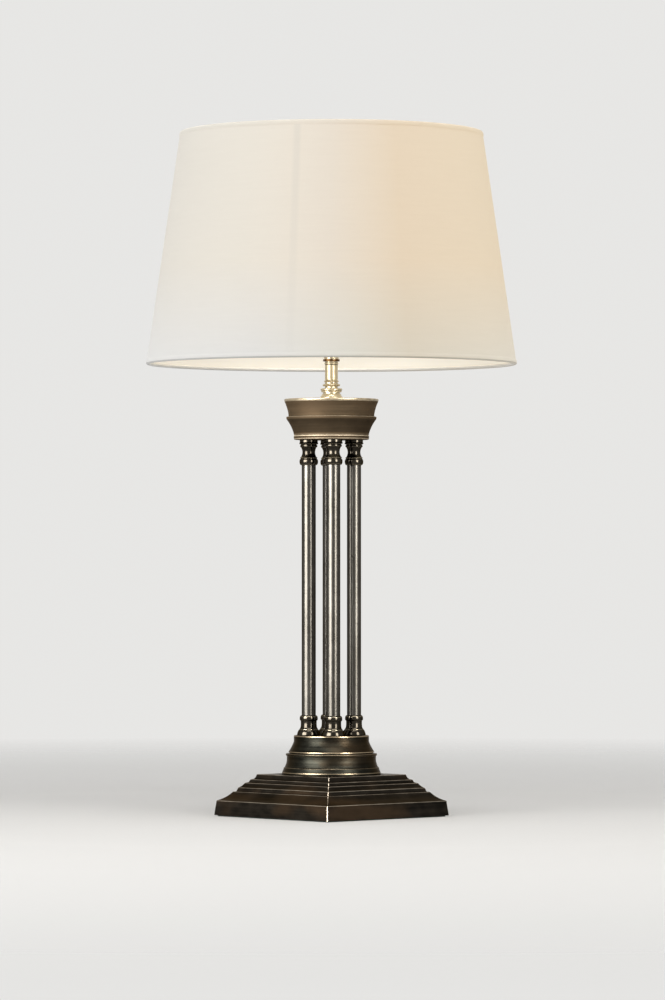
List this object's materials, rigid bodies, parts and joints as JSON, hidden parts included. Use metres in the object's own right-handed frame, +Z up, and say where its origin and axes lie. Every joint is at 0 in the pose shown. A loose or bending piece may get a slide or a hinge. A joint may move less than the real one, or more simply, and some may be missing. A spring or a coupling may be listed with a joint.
{
  "type": "column table lamp",
  "caption": "Table lamp with a ring of turned columns between two moulded drums on a stepped square base, and a tapered fabric shade that turns on its lampholder.",
  "frame": {"origin": "middle of the felt underside, on the lamp's vertical axis, at the level of the table", "axes": "+Z up along the lamp's axis; X and Y square to the sides of the base, and the cord inlet faces +Y"},
  "size_m": [0.407, 0.407, 0.7509],
  "materials": {
    "base_bronze": "dark bronze patina, worn pale on the edges",
    "drum_bronze": "antique bronze, brushed round",
    "column_bronze": "polished dark nickel bronze",
    "brass": "pale polished brass",
    "dark_washer": "satin black",
    "zinc_steel": "zinc plated",
    "cast_iron": "rough cast",
    "felt": "felt",
    "black_rubber": "matte",
    "terminal_plastic": "matte",
    "flex_sheath": "satin sheath",
    "porcelain": "glazed",
    "opal_glass": "opal, lit",
    "clear_glass": "clear",
    "black_glass": "black glass",
    "bulb_aluminium": "spun",
    "filament": "drawn wire",
    "shade_cloth": "fine off-white cloth on card",
    "shade_trim": "rolled cloth trim",
    "shade_wire": "white enamel"
  },
  "bodies": {
    "stand": {"felt_pad": "felt", "bottom_plate": "zinc_steel", "bottom_plate_screws": "zinc_steel", "stepped_base": "base_bronze", "ballast_weight": "cast_iron", "cord_inlet_bush": "black_rubber", "terminal_block": "terminal_plastic", "terminal_screw": "brass", "earth_screw": "brass", "lower_drum": "drum_bronze", "column_foot_1": "column_bronze", "column_foot_2": "column_bronze", "column_foot_3": "column_bronze", "column_foot_4": "column_bronze", "column_tube_1": "column_bronze", "column_tube_2": "column_bronze", "column_tube_3": "column_bronze", "column_tube_4": "column_bronze", "column_capital_1": "column_bronze", "column_capital_2": "column_bronze", "column_capital_3": "column_bronze", "column_capital_4": "column_bronze", "tie_pipe_1": "zinc_steel", "tie_pipe_2": "zinc_steel", "tie_pipe_3": "zinc_steel", "tie_pipe_4": "zinc_steel", "lower_tie_washers": "zinc_steel", "lower_tie_nuts": "zinc_steel", "upper_tie_washers": "zinc_steel", "upper_tie_nuts": "zinc_steel", "upper_drum": "drum_bronze", "upper_drum_lid": "brass", "neck": "brass", "neck_pipe": "zinc_steel", "neck_washer": "zinc_steel", "neck_nut": "zinc_steel", "holder_washer": "dark_washer", "holder_cap": "brass", "holder_core": "porcelain", "centre_contact": "brass", "screw_shell": "brass", "holder_skirt": "brass", "internal_flex": "flex_sheath"},
    "shade": {"shade_fabric": "shade_cloth", "shade_top_ring": "shade_wire", "shade_bottom_ring": "shade_wire", "shade_top_hem": "shade_trim", "shade_bottom_hem": "shade_trim", "fitter_ring": "shade_wire", "fitter_arms": "shade_wire"},
    "shade_clamp": {"shade_clamp_ring": "brass"},
    "bulb": {"bulb_glass": "opal_glass", "bulb_cap": "bulb_aluminium", "bulb_insulator": "black_glass", "bulb_tip_contact": "bulb_aluminium", "bulb_stem": "clear_glass", "bulb_filament": "filament"}
  },
  "joints": [
    {"name": "shade_swivel", "type": "hinge", "parent": "stand", "child": "shade", "pos_m": [0, 0, 0.524], "axis": [0, 0, 1], "continuous": true},
    {"name": "shade_ring_turn", "type": "hinge", "parent": "stand", "child": "shade_clamp", "pos_m": [0, 0, 0.528], "axis": [0, 0, 1], "range_deg": [0, 1260]},
    {"name": "bulb_turn", "type": "hinge", "parent": "stand", "child": "bulb", "pos_m": [0, 0, 0.54], "axis": [0, 0, 1], "range_deg": [0, 1440]}
  ]
}
